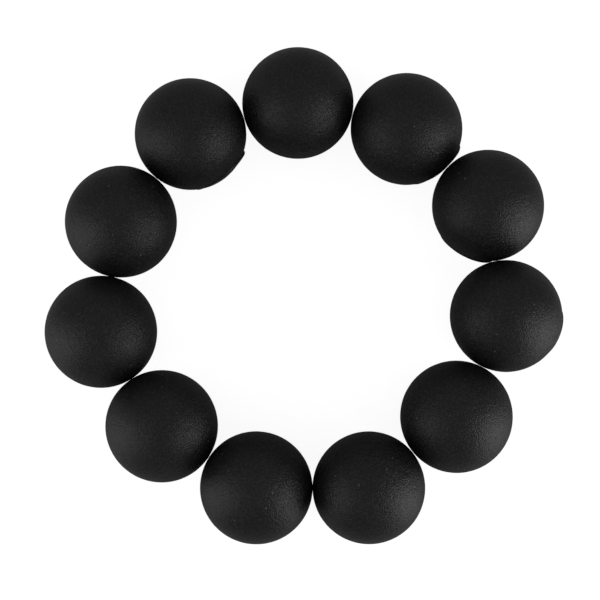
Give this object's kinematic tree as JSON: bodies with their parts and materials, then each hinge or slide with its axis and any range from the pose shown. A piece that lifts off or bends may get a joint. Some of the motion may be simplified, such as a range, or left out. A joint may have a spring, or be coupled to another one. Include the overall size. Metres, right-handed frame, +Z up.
{
  "type": "case opening friction ball set",
  "caption": "Ring of loose solid rubber friction balls for gripping and turning screw-down watch case backs.",
  "frame": {"origin": "on the surface the balls rest on, under the middle of the ring's footprint", "axes": "+X to the right across the ring's wider side, +Y towards the top of the ring, +Z up"},
  "size_m": [0.2964, 0.2844, 0.064],
  "materials": {
    "black_rubber": "matte, fine leathery grain"
  },
  "bodies": {
    "ball_01": {"ball_01": "black_rubber"},
    "ball_02": {"ball_02": "black_rubber"},
    "ball_03": {"ball_03": "black_rubber"},
    "ball_04": {"ball_04": "black_rubber"},
    "ball_05": {"ball_05": "black_rubber"},
    "ball_06": {"ball_06": "black_rubber"},
    "ball_07": {"ball_07": "black_rubber"},
    "ball_08": {"ball_08": "black_rubber"},
    "ball_09": {"ball_09": "black_rubber"},
    "ball_10": {"ball_10": "black_rubber"},
    "ball_11": {"ball_11": "black_rubber"}
  },
  "joints": [
    {"name": "ball_02_lift", "type": "slide", "parent": "ball_01", "child": "ball_02", "axis": [0, 0, 1], "range_m": [0, 0.08]},
    {"name": "ball_03_lift", "type": "slide", "parent": "ball_01", "child": "ball_03", "axis": [0, 0, 1], "range_m": [0, 0.08]},
    {"name": "ball_04_lift", "type": "slide", "parent": "ball_01", "child": "ball_04", "axis": [0, 0, 1], "range_m": [0, 0.08]},
    {"name": "ball_05_lift", "type": "slide", "parent": "ball_01", "child": "ball_05", "axis": [0, 0, 1], "range_m": [0, 0.08]},
    {"name": "ball_06_lift", "type": "slide", "parent": "ball_01", "child": "ball_06", "axis": [0, 0, 1], "range_m": [0, 0.08]},
    {"name": "ball_07_lift", "type": "slide", "parent": "ball_01", "child": "ball_07", "axis": [0, 0, 1], "range_m": [0, 0.08]},
    {"name": "ball_08_lift", "type": "slide", "parent": "ball_01", "child": "ball_08", "axis": [0, 0, 1], "range_m": [0, 0.08]},
    {"name": "ball_09_lift", "type": "slide", "parent": "ball_01", "child": "ball_09", "axis": [0, 0, 1], "range_m": [0, 0.08]},
    {"name": "ball_10_lift", "type": "slide", "parent": "ball_01", "child": "ball_10", "axis": [0, 0, 1], "range_m": [0, 0.08]},
    {"name": "ball_11_lift", "type": "slide", "parent": "ball_01", "child": "ball_11", "axis": [0, 0, 1], "range_m": [0, 0.08]}
  ]
}
